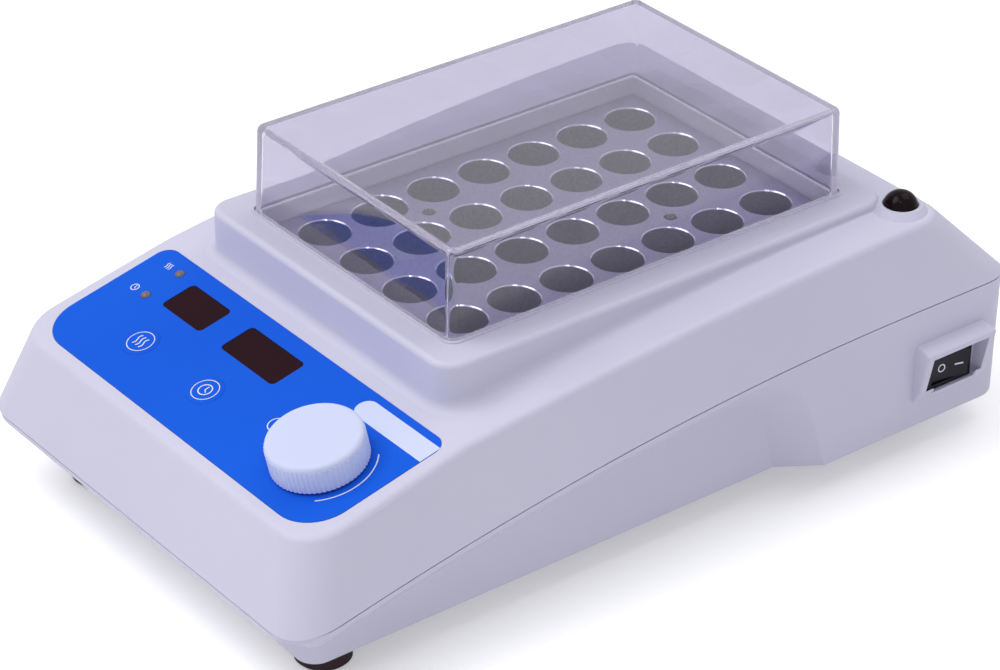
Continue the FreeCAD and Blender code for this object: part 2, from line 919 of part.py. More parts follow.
def hood_shape():
    # Hood that overhangs the switch, wide above, its underside running back into the side wall
    root = half_w - hood_root
    outline = Part.makePolygon([
        V(root, hood_front_y, hood_top_z + hood_top_fall),
        V(half_w + hood_reach, hood_front_y, hood_top_z),
        V(half_w + hood_low_reach, hood_front_y, hood_lip_z),
        V(half_w + layer_gap, hood_front_y, hood_low_z),
        V(root, hood_front_y, hood_low_z),
        V(root, hood_front_y, hood_top_z + hood_top_fall),
    ])
    hood = Part.Face(outline).extrude(V(0, hood_l, 0))
    hood = hood.makeFillet(hood_edge_r, [e for e in hood.Edges if e.CenterOfMass.x > half_w + past])
    pad = box(
        root - hood_pad, half_w - switch_sink, hood_front_y, hood_rear_y,
        hood_low_z - hood_pad_under, hood_top_z + hood_pad_over)
    return hood.fuse(pad)


def hood_pocket():
    # Room in front of the switch, its floor rising from the bezel to the lip
    low = switch_mid_z - switch_half_z - seat_gap
    lip = hood_lip_z + hood_lip_h
    high = hood_top_z - hood_top_wall
    back = half_w - switch_sink
    y = hood_front_y + hood_front_wall
    outline = Part.makePolygon([
        V(back, y, low), V(switch_front_x, y, low), V(half_w + hood_low_reach, y, lip),
        V(half_w + far, y, lip), V(half_w + far, y, high), V(back, y, high), V(back, y, low),
    ])
    return Part.Face(outline).extrude(V(0, hood_l - hood_front_wall - hood_rear_wall, 0))


def make_base():
    outer = parting_band(half_w, front_y, rear_y, front_corner_r, rear_corner_r, None, -part_gap)
    outer = outer.cut(box(
        -half_w - far, half_w + far, front_y - far, rear_y + far, base_low_z - far, base_low_z))
    inner = rounded_block(
        half_w - wall, front_y + wall, rear_y - wall, base_floor_z, riser_top_z,
        front_corner_r - wall, rear_corner_r - wall)
    for side in (-1.0, 1.0):
        outer = outer.cut(recess_cutter(side, 0.0))
        inner = inner.cut(recess_cutter(side, wall))
    outer = outer.cut(front_cutter(0.0))
    inner = inner.cut(front_cutter(wall))
    shell = outer.cut(inner)
    tongue_half = half_w - wall - tongue_gap
    tongue_front = front_y + wall + tongue_front_gap
    tongue_rear = rear_y - wall - tongue_rear_gap
    tongue_r_front = front_corner_r - wall - tongue_gap + layer_gap
    tongue_r_rear = rear_corner_r - wall - tongue_gap + layer_gap
    tongue_in = parting_band(
        tongue_half - tongue_t, tongue_front + tongue_t, tongue_rear - tongue_t,
        tongue_r_front - tongue_t, tongue_r_rear - tongue_t, -step_h - 2.0 * tongue_h, far / 4.0)
    step = parting_band(
        half_w - step_in, front_y + step_in, rear_y - step_in, front_corner_r - step_in,
        rear_corner_r - step_in, -step_h, -part_gap)
    rib = parting_band(
        tongue_half, tongue_front, tongue_rear, tongue_r_front, tongue_r_rear, -step_h, tongue_h)
    shell = shell.fuse(step.cut(tongue_in)).fuse(rib.cut(tongue_in))
    shell = shell.fuse(hood_shape())
    root = base_low_z + past
    for x, y in foot_spots:
        shell = shell.fuse(tube(x, y, root, foot_boss_z, foot_spigot_r + boss_wall))
    for x, y in cover_posts:
        shell = shell.fuse(tube(x, y, root, cover_post_split_z - seat_gap, cover_post_r + boss_wall))
    for x, y in power_posts:
        shell = shell.fuse(tube(x, y, root, power_z - layer_gap, post_r))
    cuts = [
        hood_pocket(),
        box(
            half_w - hood_root - 2.0 * wall, half_w + far,
            switch_mid_y - switch_half_y + switch_body_in - trim_gap,
            switch_mid_y + switch_half_y - switch_body_in + trim_gap,
            switch_mid_z - switch_half_z + switch_body_in - trim_gap,
            switch_mid_z + switch_half_z - switch_body_in + trim_gap),
        box(
            inlet_x - inlet_half_w - trim_gap, inlet_x + inlet_half_w + trim_gap,
            rear_y - 2.0 * wall, rear_y + far,
            inlet_mid_z - inlet_half_h - trim_gap, inlet_mid_z + inlet_half_h + trim_gap),
    ]
    for x, y in foot_spots:
        cuts.append(tube(
            x, y, 0.0, base_low_z + foot_spigot_h + spigot_gap, foot_spigot_r + spigot_gap))
        cuts.append(tube(x, y, 0.0, foot_boss_z - past, screw_shank_r + layer_gap))
    for x, y in cover_posts:
        cuts.append(tube(x, y, 0.0, cover_sink_z, screw_head_r + cover_sink_gap))
        cuts.append(tube(x, y, 0.0, riser_root_z, screw_shank_r + trim_gap))
    for x, y in power_posts:
        cuts.append(tube(x, y, power_z - power_pilot_h, riser_root_z, pilot_r))
    vent_y = front_y + vent_run
    for i in range(vent_count):
        slot = rounded_block(
            vent_half_w, vent_y, vent_y + vent_l, 0.0, base_floor_z + past,
            vent_half_w - layer_gap)
        slot.translate(V((i - (vent_count - 1) / 2.0) * vent_pitch, 0, 0))
        cuts.append(slot)
    for i in range(rear_vent_count):
        x = rear_vent_x + i * rear_vent_pitch
        cuts.append(box(
            x, x + rear_vent_w, rear_y - 2.0 * wall, rear_y + far, rear_vent_low_z,
            rear_vent_low_z + rear_vent_h))
    return shell.cut(Part.makeCompound(cuts))


def make_collar():
    # Flange on the ledge, a lip that slopes down to the block, and a skirt round the pan's rim
    top = riser_top_z - seat_gap
    flange_low = top - flange_t
    sides = block_half_w + block_gap
    ends = block_half_l + block_gap
    lip_w = sides + collar_side_flare
    lip_l = ends + collar_end_flare
    body = well_block(
        opening_half_w - trim_gap, opening_half_l - trim_gap, flange_low, top, opening_r - trim_gap)
    body = body.fuse(well_block(
        lip_w + collar_wall, lip_l + collar_wall, block_top_z, flange_low + past, collar_top_r))
    body = body.fuse(well_block(
        sides + collar_wall, ends + collar_wall, collar_low_z, block_top_z + past, collar_foot_r))
    slope = Part.makeLoft([
        well_outline(sides, ends, block_top_z, collar_in_r),
        well_outline(lip_w, lip_l, top, collar_lip_r)], True, True)
    body = body.cut(slope)
    return body.cut(well_block(sides, ends, collar_low_z - past, block_top_z + touch, collar_in_r))


def make_block():
    block = well_block(block_half_w, block_half_l, block_low_z, block_top_z, block_corner_r)
    cuts = []
    for x, y in well_centres():
        cuts.append(tube(x, y, block_top_z - well_depth, block_top_z + past, well_r))
        cuts.append(tube(
            x, y, block_top_z - well_chamfer, block_top_z + touch, well_r, well_r + well_chamfer + touch))
    for end in (-1.0, 1.0):
        x = end * well_pitch_x * (well_cols / 2.0 - 1.0)
        y = well_mid_y + end * well_pitch_y * (well_rows / 2.0 - 2.0)
        cuts.append(tube(x, y, block_top_z - lift_hole_depth, block_top_z + past, lift_hole_r))
    return block.cut(Part.makeCompound(cuts))


def make_lid():
    r = lid_corner_r
    low = well_outline(lid_half_w, lid_half_l, riser_top_z, r)
    high = well_outline(lid_half_w - lid_draft, lid_half_l - lid_draft, lid_top_z, r)
    shell = Part.makeLoft([low, high], True, True)
    shell = shell.makeFillet(lid_edge_r, top_edges(shell, lid_top_z))
    in_w = lid_half_w - lid_wall
    in_l = lid_half_l - lid_wall
    hollow = Part.makeLoft([
        well_outline(in_w, in_l, riser_top_z - touch, lid_inner_r),
        well_outline(in_w - lid_draft, in_l - lid_draft, lid_top_z - lid_wall, lid_inner_r)], True, True)
    return shell.cut(hollow)


def make_pan():
    rim_z = block_top_z - pan_rim_drop
    floor_z = pan_low_z + pan_floor
    pan = well_block(pan_out_w, pan_out_l, pan_low_z, rim_z, pan_corner_r)
    return pan.cut(well_block(
        pan_out_w - pan_wall, pan_out_l - pan_wall, floor_z, rim_z + past, pan_inner_r))


def make_heater():
    # Film under the pan, with a tail that carries its leads to the front edge
    film = well_block(
        pan_out_w - heater_inset, pan_out_l - heater_inset, heater_z, heater_z + heater_t, pan_corner_r)
    front = well_mid_y - pan_out_l
    tail = box(
        -heater_tail_w / 2.0, heater_tail_w / 2.0, front, front + heater_tail_l,
        heater_z, heater_z + heater_t)
    return film.fuse(tail)


def make_clamp():
    plate = well_block(pan_out_w, pan_out_l, clamp_z, clamp_z + clamp_t, pan_corner_r)
    return plate.cut(well_block(
        clamp_window_half_w, clamp_window_half_l, clamp_z - past, clamp_z + clamp_t + past,
        clamp_window_r))


def make_jacket():
    in_w = pan_out_w + layer_gap
    in_l = pan_out_l + layer_gap
    jacket = well_block(
        in_w + jacket_t, in_l + jacket_t, clamp_z, collar_low_z - seat_gap, jacket_corner_r)
    return jacket.cut(well_block(
        in_w, in_l, clamp_z - past, collar_low_z + past, pan_corner_r + layer_gap))


def make_legs():
    legs = []
    for x in (leg_inset_x - block_half_w, block_half_w - leg_inset_x):
        for side in (-1.0, 1.0):
            y = well_mid_y + side * (block_half_l - leg_inset_y)
            legs.append(tube(x, y, base_floor_z + layer_gap, clamp_z - layer_gap, leg_r))
    return Part.makeCompound(legs)


def make_sensor():
    # Flat probe in the plate's window, its two leads ending in a round sleeve
    top = heater_z - layer_gap
    y0 = well_mid_y + probe_y
    y1 = y0 + probe_l
    mid = top - probe_t / 2.0
    body = box(-probe_w / 2.0, probe_w / 2.0, y0, y1, top - probe_t, top)
    neck = box(
        -probe_neck_w / 2.0, probe_neck_w / 2.0, y1 - past, y1 + probe_neck_l,
        mid - probe_lead_r / 2.0, mid + probe_lead_r / 2.0)
    sleeve = Part.makeCylinder(probe_lead_r, probe_neck_l, V(0.0, y1 + probe_neck_l - past, mid), V(0, 1, 0))
    return body.fuse(neck).fuse(sleeve)


def make_cutout():
    top = cutout_top_z
    y = well_mid_y + cutout_y
    cap_z = top - cutout_cap_t
    body_z = cap_z - cutout_body_t
    body = tube(0.0, y, cap_z, top, cutout_cap_r).fuse(tube(0.0, y, body_z, cap_z, cutout_body_r))
    for x in (-cutout_tab_x, cutout_tab_x):
        body = body.fuse(box(
            x - tab_t / 2.0, x + tab_t / 2.0, y - cutout_tab_l / 2.0, y + cutout_tab_l / 2.0,
            body_z - cutout_tab_h, body_z + layer_gap))
    return body


def make_overlay():
    plate = overlay_plate(0.0, -overlay_sink, -overlay_sink + overlay_t)
    cuts = []
    for x0, x1 in display_spans:
        cuts.append(panel_window(x0, x1, display_low_s, display_high_s, -past, past, window_r))
    for x, s in led_spots:
        cuts.append(panel_tube(x, s, -past, past, led_r + led_hole_gap))
    for x, s in key_spots:
        cuts.append(panel_tube(x, s, -past, past, key_r + key_gap))
    cuts.append(panel_tube(knob_x, knob_s, -past, past, bushing_r + seat_gap))
    return plate.cut(Part.makeCompound(cuts))


def make_window(x0, x1):
    return panel_window(
        x0 + layer_gap, x1 - layer_gap, display_low_s + layer_gap, display_high_s - layer_gap,
        -overlay_sink, -overlay_sink + overlay_t - window_sink, window_r)


def make_module(x0, x1):
    return panel_box(
        x0 + module_margin, x1 - module_margin, display_low_s + module_margin,
        display_high_s - module_margin, board_top_h + layer_gap, -overlay_sink - layer_gap)


def make_control_board():
    board = box(-board_half_w, board_half_w, board_low_s, board_low_s + board_l, board_h, board_top_h)
    for x, s in post_spots:
        board = board.cut(tube(x, s, board_h - past, board_top_h + past, screw_shank_r))
    return on_panel(board)


def make_led(x, s):
    stem = tube(x, s, board_top_h + layer_gap, 0.0, led_r)
    dome = Part.makeSphere(led_dome_r, V(x, s, -led_dome_r / 2.0))
    cap = dome.common(tube(x, s, -layer_gap, led_dome_r, led_r))
    return on_panel(stem.fuse(cap))


def make_key(x, s):
    cap = tube(x, s, key_rise - key_cap_t, key_rise - key_edge, key_r)
    cap = cap.fuse(tube(x, s, key_rise - key_edge, key_rise, key_r, key_r - key_edge))
    stem = tube(
        x, s, key_switch_top + key_travel + layer_gap, key_rise - key_cap_t + key_edge, key_stem_r)
    return on_panel(cap.fuse(stem))


def make_key_switches():
    low = board_top_h + layer_gap
    a = key_switch_half
    switches = []
    for x, s in key_spots:
        body = box(x - a, x + a, s - a, s + a, low, low + key_switch_h)
        stem = tube(x, s, low + key_switch_h - past, key_switch_top, key_switch_stem_r)
        switches.append(on_panel(body.fuse(stem)))
    return Part.makeCompound(switches)


def make_encoder_body():
    low = board_top_h + layer_gap
    a = encoder_half
    body = box(knob_x - a, knob_x + a, knob_s - a, knob_s + a, low, -wall - encoder_top_gap)
    body = body.fuse(tube(knob_x, knob_s, low, bushing_rise, bushing_r))
    bore = tube(knob_x, knob_s, shaft_low - knob_push - seat_gap, past, shaft_r + shaft_run)
    well = tube(knob_x, knob_s, low - past, 0.0, plunger_r + seat_gap)
    return on_panel(body.cut(bore.fuse(well)))


def make_plunger():
    top = shaft_low - seat_gap
    return panel_tube(knob_x, knob_s, top - plunger_t, top, plunger_r)


def make_shaft():
    return panel_tube(knob_x, knob_s, shaft_low, knob_h - knob_wall - 2.0 * layer_gap, shaft_r)


def knob_outline():
    # Round ridges with narrow valleys between them, all round the grip
    points = []
    valley_r = knob_r - flute_depth
    corners = ((0.0, valley_r), (0.5 - ridge_share, knob_r), (0.5 + ridge_share, knob_r))
    for i in range(knob_flutes):
        for share, r in corners:
            a = 2.0 * math.pi * (i + share) / knob_flutes
            points.append(V(knob_x + r * math.cos(a), knob_s + r * math.sin(a), knob_gap))
    points.append(points[0])
    return Part.makePolygon(points)


def make_knob():
    x = knob_x
    s = knob_s
    cap_z = knob_h - knob_cap_h
    grip = Part.Face(knob_outline()).extrude(V(0, 0, cap_z - knob_gap))
    cap = tube(x, s, knob_gap + past, knob_h, knob_r - knob_cap_in)
    cap = cap.makeFillet(knob_edge_r, top_edges(cap, knob_h))
    hollow = tube(x, s, knob_gap - past, knob_h - knob_wall, knob_r - knob_wall)
    hub = tube(x, s, bushing_rise + knob_push + seat_gap, knob_h, hub_r)
    knob = grip.fuse(cap).cut(hollow.cut(hub))
    return on_panel(knob.cut(tube(x, s, 0.0, knob_h - knob_wall, shaft_r + layer_gap)))


def make_lens():
    h = lamp_dome_h
    r = lamp_r
    ball = (r * r + h * h) / (2.0 * h)
    foot_z = lamp_base_z - lamp_foot_t
    stem_z = lamp_base_z - lamp_stem_l
    dome = Part.makeSphere(ball, V(lamp_x, lamp_y, lamp_base_z + h - ball))
    dome = dome.common(tube(lamp_x, lamp_y, lamp_base_z - touch, lamp_base_z + h + past, r))
    foot = tube(lamp_x, lamp_y, foot_z, lamp_base_z + touch, r)
    stem = tube(lamp_x, lamp_y, stem_z, foot_z + layer_gap, r - lamp_stem_in)
    hollow = tube(
        lamp_x, lamp_y, stem_z - past, lamp_base_z - lamp_foot_t / 2.0,
        r - lamp_stem_in - lamp_lens_wall)
    return dome.fuse(foot).fuse(stem).cut(hollow)


def make_lamp_led():
    z0 = lamp_base_z - lamp_led_sink
    led = tube(lamp_x, lamp_y, z0, z0 + lamp_led_l, lamp_led_r)
    a = lamp_lead / 2.0
    for x in (lamp_x - lamp_lead_x, lamp_x + lamp_lead_x):
        led = led.fuse(box(x - a, x + a, lamp_y - a, lamp_y + a, z0 - lamp_lead_l, z0 + past))
    return led


def switch_box(half_y, half_z, x0, x1):
    return box(
        x0, x1, switch_mid_y - half_y, switch_mid_y + half_y, switch_mid_z - half_z, switch_mid_z + half_z)


def make_switch_body():
    front = switch_front_x
    tail = switch_face_x - switch_depth
    bezel = switch_box(switch_half_y, switch_half_z, switch_face_x, front)
    bezel = bezel.makeFillet(switch_bezel_r, [e for e in bezel.Edges if e.BoundBox.XMin > front - touch])
    body = bezel.fuse(switch_box(
        switch_half_y - switch_body_in, switch_half_z - switch_body_in, tail, switch_face_x + layer_gap))
    body = body.cut(switch_box(
        rocker_end_r + rocker_gap, rocker_half_z + rocker_gap, rocker_x - rocker_room, front + past))
    for step in (-1.0, 0.0, 1.0):
        blade = block_at(
            tail, switch_mid_y + step * switch_blade_pitch, switch_mid_z,
            switch_blade_l, switch_blade_w / 2.0, tab_t / 2.0)
        body = body.fuse(blade.common(switch_box(far, far, tail - far, tail + layer_gap)))
    return body


def make_rocker():
    # Shallow V in front, its ends round about the pivot; it rests with one end pressed
    r = rocker_end_r
    z0 = switch_mid_z - rocker_half_z

    def spot(along, out):
        return V(rocker_x + out, switch_mid_y + along, z0)

    a = spot(-r * math.cos(rocker_high), r * math.sin(rocker_high))
    b = spot(0.0, rocker_crown)
    c = spot(r * math.cos(rocker_high), r * math.sin(rocker_high))
    d = spot(r * math.cos(rocker_low), -r * math.sin(rocker_low))
    e = spot(-r * math.cos(rocker_low), -r * math.sin(rocker_low))
    outline = [
        Part.Arc(a, b, c).toShape(),
        Part.Arc(c, spot(r, 0.0), d).toShape(),
        line(d, e),
        Part.Arc(e, spot(-r, 0.0), a).toShape(),
    ]
    rocker = face_of(outline).extrude(V(0, 0, 2.0 * rocker_half_z))
    rocker.rotate(V(rocker_x, switch_mid_y, 0), V(0, 0, 1), -rocker_tilt)
    return rocker


def make_inlet():
    x = inlet_x
    z = inlet_mid_z
    rear_face = rear_y + layer_gap
    front = rear_face + inlet_flange_t
    flange = box(
        x - inlet_half_w - inlet_flange, x + inlet_half_w + inlet_flange, rear_face, front,
        z - inlet_half_h - inlet_flange, z + inlet_half_h + inlet_flange)
    flange = flange.makeFillet(inlet_edge_r, [e for e in flange.Edges if e.BoundBox.YMin > front - touch])
    unit = flange.fuse(box(
        x - inlet_half_w, x + inlet_half_w, rear_face - inlet_depth, rear_face + layer_gap,
        z - inlet_half_h, z + inlet_half_h))
    zs = z - socket_drop
    unit = unit.cut(box(
        x - socket_half_w, x + socket_half_w, front - socket_depth, front + past,
        zs - socket_half_h, zs + socket_half_h))
    for dx, dz in ((-pin_spacing, -pin_low), (0.0, pin_high), (pin_spacing, -pin_low)):
        unit = unit.fuse(box(
            x + dx - pin_half, x + dx + pin_half, front - socket_depth - past, front - pin_sink,
            zs + dz - pin_half_h, zs + dz + pin_half_h))
    zd = z + drawer_rise
    return unit.cut(box(
        x - drawer_half_w - seat_gap, x + drawer_half_w + seat_gap,
        front - drawer_depth - seat_gap - past, front + past,
        zd - drawer_half_h - seat_gap, zd + drawer_half_h + seat_gap))


def make_drawer():
    x = inlet_x
    zd = inlet_mid_z + drawer_rise
    face = rear_y + layer_gap + inlet_flange_t
    front = face + drawer_stand
    drawer = box(
        x - drawer_half_w, x + drawer_half_w, face - drawer_depth, front,
        zd - drawer_half_h, zd + drawer_half_h)
    drawer = drawer.cut(box(
        x - drawer_half_w + drawer_wall, x + drawer_half_w - drawer_wall, face - drawer_depth - past,
        face - drawer_face_t, zd - drawer_half_h + drawer_wall, zd + drawer_half_h + past))
    return drawer.cut(box(
        x - drawer_pull_half_w, x + drawer_pull_half_w, face - drawer_pull_h, front + past,
        zd - drawer_pull_half_h, zd + drawer_pull_half_h))


def make_feet():
    feet = []
    for x, y in foot_spots:
        foot = tube(x, y, 0.0, foot_edge, foot_r - foot_edge, foot_r)
        foot = foot.fuse(tube(x, y, foot_edge, base_low_z - layer_gap, foot_r, foot_top_r))
        foot = foot.fuse(tube(x, y, base_low_z - past, base_low_z + foot_spigot_h, foot_spigot_r))
        foot = foot.cut(tube(x, y, -past, foot_mouth_h, foot_mouth_r))
        foot = foot.cut(tube(x, y, 0.0, foot_sink_h, foot_sink_r))
        feet.append(foot.cut(tube(x, y, 0.0, foot_boss_z, screw_shank_r + trim_gap)))
    return Part.makeCompound(feet)


def screw(x, y, seat_z, tip_z):
    # Pan-head screw pointing up, its head under seat_z
    low = seat_z - screw_head_h
    edge = low + screw_edge
    head = tube(x, y, low, edge, screw_head_r - screw_edge, screw_head_r)
    head = head.fuse(tube(x, y, edge, seat_z - layer_gap, screw_head_r))
    head = head.fuse(tube(x, y, seat_z - 2.0 * layer_gap, tip_z, screw_shank_r))
    slot = block_at(x, y, low, slot_l / 2.0, slot_w / 2.0, slot_h)
    cross = block_at(x, y, low, slot_w / 2.0, slot_l / 2.0, slot_h)
    return head.cut(slot).cut(cross)


def make_foot_screws():
    return Part.makeCompound([screw(x, y, foot_sink_h, foot_boss_z - past - seat_gap) for x, y in foot_spots])


def make_cover_screws():
    tip = cover_post_split_z + cover_screw_hole - seat_gap
    return Part.makeCompound([screw(x, y, cover_sink_z, tip) for x, y in cover_posts])


def make_board_screws():
    screws = []
    for x, s in post_spots:
        top = board_h - layer_gap
        head = tube(x, s, top - small_head_h, top, small_head_r)
        shank = tube(x, s, top - layer_gap, pilot_top_h - seat_gap, pilot_r - layer_gap)
        screws.append(on_panel(head.fuse(shank)))
    for x, y in power_posts:
        head = tube(x, y, power_top_z, power_top_z + small_head_h, small_head_r)
        shank = tube(
            x, y, power_z - power_pilot_h + seat_gap, power_top_z + layer_gap, pilot_r - layer_gap)
        screws.append(head.fuse(shank))
    return Part.makeCompound(screws)


def on_power_board(x, y, w, l, z, h):
    # Box with its left front corner at a distance from the board's own left front corner
    return box(
        power_x0 + x, power_x0 + x + w, power_y0 + y, power_y0 + y + l,
        power_top_z + z, power_top_z + z + h)


def make_power_board():
    board = box(power_x0, power_x0 + power_w, power_y0, power_y0 + power_l, power_z, power_z + power_t)
    for x, y in power_posts:
        board = board.cut(tube(x, y, power_z - past, power_top_z + past, screw_shank_r))
    return board


def make_transformer():
    core = on_power_board(core_x, core_y, core_w, core_l, 0.0, core_h)
    coil = on_power_board(
        core_x + coil_in, core_y - coil_out, core_w - 2.0 * coil_in, core_l + 2.0 * coil_out,
        coil_low, coil_h)
    return core.fuse(coil)


def make_relay():
    relay = on_power_board(relay_x, relay_y, relay_w, relay_l, 0.0, relay_h)
    return relay.makeFillet(relay_edge_r, top_edges(relay, power_top_z + relay_h))


def make_capacitors():
    cans = []
    for i in range(2):
        x = power_x0 + can_x + i * can_spacing
        cans.append(tube(x, power_y0 + can_y, power_top_z, power_top_z + can_h, can_r))
    return Part.makeCompound(cans)


parts = {
    "top_cover": make_cover,
    "base_shell": make_base,
    "block_collar": make_collar,
    "heating_pan": make_pan,
    "heater_film": make_heater,
    "clamp_plate": make_clamp,
    "insulation_jacket": make_jacket,
    "pan_legs": make_legs,
    "temperature_sensor": make_sensor,
    "thermal_cutout": make_cutout,
    "tube_block": make_block,
    "clear_lid": make_lid,
    "panel_overlay": make_overlay,
    "small_display_window": lambda: make_window(small_x0, small_x1),
    "large_display_window": lambda: make_window(large_x0, large_x1),
    "small_display_module": lambda: make_module(small_x0, small_x1),
    "large_display_module": lambda: make_module(large_x0, large_x1),
    "control_board": make_control_board,
    "heat_led": lambda: make_led(led_x, heat_led_s),
    "timer_led": lambda: make_led(led_x, timer_led_s),
    "heat_key": lambda: make_key(heat_key_x, key_s),
    "timer_key": lambda: make_key(timer_key_x, key_s),
    "key_switches": make_key_switches,
    "encoder_body": make_encoder_body,
    "encoder_plunger": make_plunger,
    "encoder_shaft": make_shaft,
    "control_knob": make_knob,
    "lamp_lens": make_lens,
    "lamp_led": make_lamp_led,
    "switch_body": make_switch_body,
    "switch_rocker": make_rocker,
    "power_inlet": make_inlet,
    "fuse_drawer": make_drawer,
    "power_board": make_power_board,
    "power_transformer": make_transformer,
    "heater_relay": make_relay,
    "capacitors": make_capacitors,
    "rubber_feet": make_feet,
    "foot_screws": make_foot_screws,
    "cover_screws": make_cover_screws,
    "board_screws": make_board_screws,
}

os.makedirs("parts", exist_ok=True)
for name, make in parts.items():
    shape = make()
    if not shape.isValid():
        print("not valid:", name)
    shape.exportStep("parts/" + name + ".step")
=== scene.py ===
import math

import bmesh
import bpy
from mathutils import Matrix, Vector


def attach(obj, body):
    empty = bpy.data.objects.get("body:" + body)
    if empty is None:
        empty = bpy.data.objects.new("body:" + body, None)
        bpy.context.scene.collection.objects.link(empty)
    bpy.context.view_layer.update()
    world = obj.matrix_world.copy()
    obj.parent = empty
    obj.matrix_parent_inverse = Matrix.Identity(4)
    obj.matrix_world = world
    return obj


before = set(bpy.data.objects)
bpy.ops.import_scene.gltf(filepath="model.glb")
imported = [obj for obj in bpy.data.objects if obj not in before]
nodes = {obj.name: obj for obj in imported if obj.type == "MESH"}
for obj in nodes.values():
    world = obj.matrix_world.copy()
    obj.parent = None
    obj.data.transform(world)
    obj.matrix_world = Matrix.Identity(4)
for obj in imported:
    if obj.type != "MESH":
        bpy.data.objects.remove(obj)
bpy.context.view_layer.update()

MM = 0.001

# Camera, fitted to the photograph; angles in degrees, lengths in metres
CAMERA_AZIMUTH = 51.404
CAMERA_ELEVATION = 30.806
CAMERA_ROLL = 0.995
CAMERA_TARGET = Vector((0.00012, 0.0, 0.04142))
CAMERA_DISTANCE = 1.15588
CAMERA_LENS = 128.216
FLOOR_LIFT = 0.34
# Glossy bounces in the lid after which its painted edge glow shows
PAINTED_GLOW_AFTER = 2.5
FLOOR_HALF = 3.0
FLOOR_Z = -0.0004

# Control panel: its front top edge and its slope, and distances up the slope in millimetres
PANEL_EDGE = Vector((0.0, -133.3, 54.0)) * MM
PANEL_SLOPE = math.radians(13.34)
OVERLAY_TOP = 0.1
PRINT_T = 0.03
HEAT_KEY_X = -40.1
TIMER_KEY_X = -4.1
KEY_S = 22.4
KEY_R = 4.5
KEY_CROWN = 0.54
FILM_T = 0.06
KNOB_X = 50.4
KNOB_S = 26.7

# Rocker of the power switch: pivot, tilt at rest and the hollow of its face, in millimetres
ROCKER_X = 85.85
ROCKER_Y = 118.2
ROCKER_Z = 29.8
ROCKER_TILT = math.radians(9.0)
ROCKER_FACE = 2.3
ROCKER_HOLLOW_R = 41.7
MARK_LOW = -0.04
MARK_HIGH = 0.05

# Lifting holes in the tube block, in millimetres; radii of bore wall, mouth, thread root and crest
BLOCK_TOP = 79.3
LIFT_HOLES = ((-22.5, -12.1), (22.5, 50.3))
LIFT_WALL_R = 2.46
LIFT_MOUTH_R = 2.2
LIFT_ROOT_R = 1.95
LIFT_CREST_R = 1.75
LIFT_MOUTH_H = 1.7
THREAD_LOW = 9.5
THREAD_GAP = 0.05
THREAD_PITCH = 0.5
THREAD_TURNS = 16

# Wells in the tube block, in millimetres
WELL_COLS = 4
WELL_ROWS = 7
WELL_PITCH_X = 22.5
WELL_PITCH_Y = 20.8
WELL_MIDDLE_Y = 19.1
WELL_R = 8.4
WELL_CHAMFER = 0.35
RIM_SKIN = 0.02
RIM_BELOW = 0.005
RIM_SPREAD = 0.1
RIM_ROOT_OUT = 0.3
RIM_ROOT_LOW = 0.5

# Pins of the power inlet: places across and up, then their outline from root to tip, in millimetres
PINS = ((-40.5, 25.4), (-34.0, 29.2), (-27.5, 25.4))
PIN_RINGS = ((132.1, 1.06, 2.06), (144.1, 1.06, 2.06), (144.7, 0.7, 1.6))
CORNERS = ((-1, -1), (1, -1), (1, 1), (-1, 1))


def srgb(r, g, b):
    def linear(c):
        c = c / 255.0
        return c / 12.92 if c <= 0.04045 else ((c + 0.055) / 1.055) ** 2.4
    return (linear(r), linear(g), linear(b), 1.0)


def new_material(name):
    mat = bpy.data.materials.new(name)
    mat.use_nodes = True
    tree = mat.node_tree
    shader = tree.nodes["Principled BSDF"]
    return mat, tree, shader


def noise(tree, scale, detail=2.0, rough=0.5):
    coords = tree.nodes.new("ShaderNodeTexCoord")
    tex = tree.nodes.new("ShaderNodeTexNoise")
    tex.inputs["Scale"].default_value = scale
    tex.inputs["Detail"].default_value = detail
    tex.inputs["Roughness"].default_value = rough
    tree.links.new(coords.outputs["Object"], tex.inputs["Vector"])
    return tex


def ramp(tree, source, low, high, at_low=0.35, at_high=0.65):
    node = tree.nodes.new("ShaderNodeValToRGB")
    node.color_ramp.elements[0].position = at_low
    node.color_ramp.elements[0].color = low
    node.color_ramp.elements[1].position = at_high
    node.color_ramp.elements[1].color = high
    tree.links.new(source, node.inputs["Fac"])
    return node


def spread(tree, source, low, high):
    node = tree.nodes.new("ShaderNodeMapRange")
    node.inputs["From Min"].default_value = 0.3
    node.inputs["From Max"].default_value = 0.7
    node.inputs["To Min"].default_value = low
    node.inputs["To Max"].default_value = high
    tree.links.new(source, node.inputs["Value"])
    return node


def bump(tree, source, shader, distance, strength=1.0):
    node = tree.nodes.new("ShaderNodeBump")
    node.inputs["Strength"].default_value = strength
    node.inputs["Distance"].default_value = distance
    tree.links.new(source, node.inputs["Height"])
    tree.links.new(node.outputs["Normal"], shader.inputs["Normal"])
    return node


def textured_plastic(name, colour, shade, rough, grain, depth, specular=0.4):
    # Moulded plastic: fine spark-eroded grain, faint cloudiness in colour and gloss
    mat, tree, shader = new_material(name)
    cloud = noise(tree, 9.0, 3.0)
    tone = ramp(tree, cloud.outputs["Fac"], shade, colour)
    tree.links.new(tone.outputs["Color"], shader.inputs["Base Color"])
    fine = noise(tree, grain, 2.0, 0.6)
    gloss = spread(tree, fine.outputs["Fac"], rough - 0.05, rough + 0.07)
    tree.links.new(gloss.outputs["Result"], shader.inputs["Roughness"])
    bump(tree, fine.outputs["Fac"], shader, depth)
    shader.inputs["Specular IOR Level"].default_value = specular
    return mat


